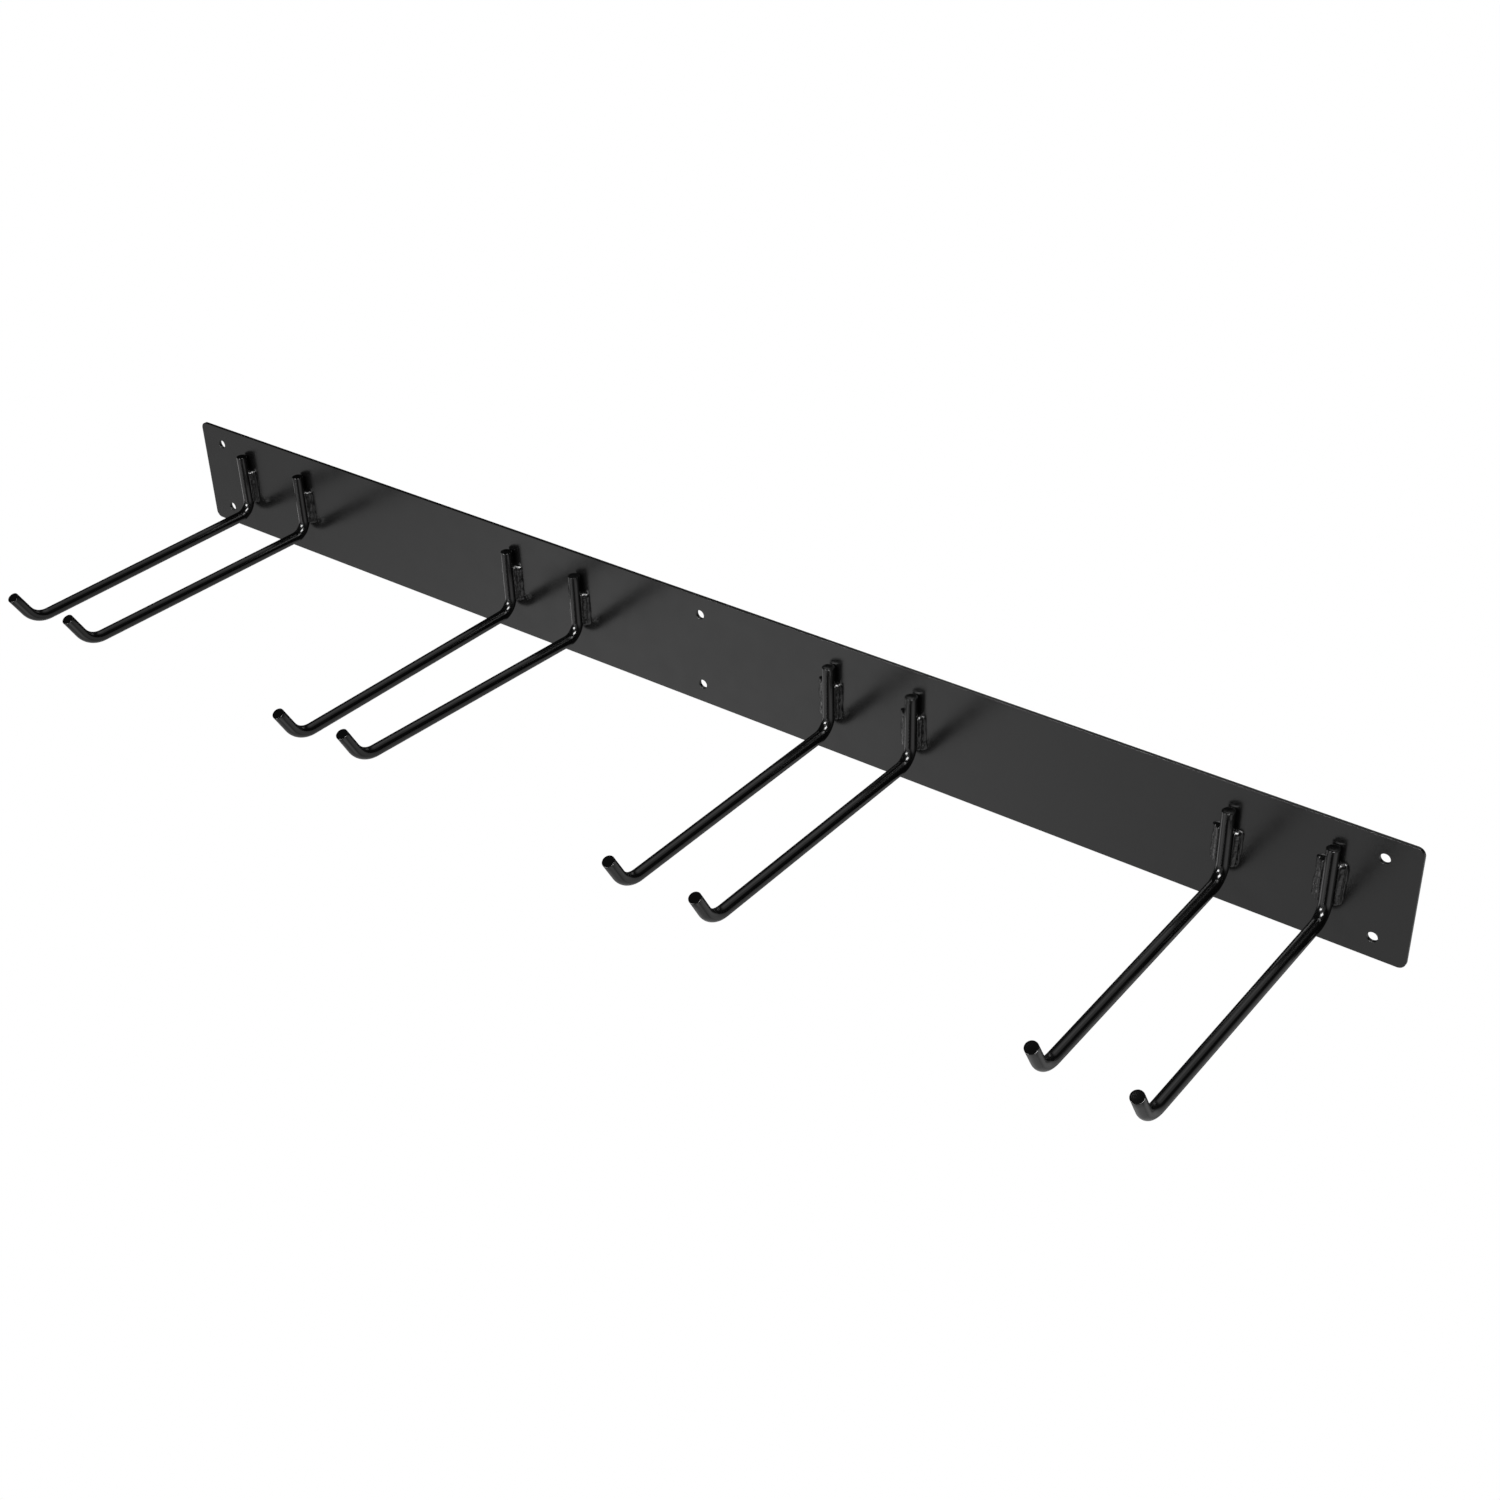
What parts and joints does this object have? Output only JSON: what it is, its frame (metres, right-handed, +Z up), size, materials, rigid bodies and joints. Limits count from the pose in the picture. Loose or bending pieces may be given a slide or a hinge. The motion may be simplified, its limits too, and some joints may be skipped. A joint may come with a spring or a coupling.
{
  "type": "wall rack",
  "caption": "Long flat steel wall strip with welded round-bar hooks in spaced pairs, arms level, tips bent up, holes for wall screws.",
  "frame": {"origin": "middle of the strip's back face, in the plane of the wall", "axes": "+X along the strip, -Y out from the wall along the arms, +Z up"},
  "size_m": [1.23, 0.2809, 0.1],
  "materials": {
    "strip_black": "satin powder coat",
    "rod_black": "semi-gloss powder coat",
    "weld_black": "semi-gloss powder coat over rippled weld"
  },
  "bodies": {
    "root": {"back_plate": "strip_black", "hook_rod_1": "rod_black", "weld_bead_1_left": "weld_black", "weld_bead_1_right": "weld_black", "hook_rod_2": "rod_black", "weld_bead_2_left": "weld_black", "weld_bead_2_right": "weld_black", "hook_rod_3": "rod_black", "weld_bead_3_left": "weld_black", "weld_bead_3_right": "weld_black", "hook_rod_4": "rod_black", "weld_bead_4_left": "weld_black", "weld_bead_4_right": "weld_black", "hook_rod_5": "rod_black", "weld_bead_5_left": "weld_black", "weld_bead_5_right": "weld_black", "hook_rod_6": "rod_black", "weld_bead_6_left": "weld_black", "weld_bead_6_right": "weld_black", "hook_rod_7": "rod_black", "weld_bead_7_left": "weld_black", "weld_bead_7_right": "weld_black", "hook_rod_8": "rod_black", "weld_bead_8_left": "weld_black", "weld_bead_8_right": "weld_black"}
  },
  "joints": []
}
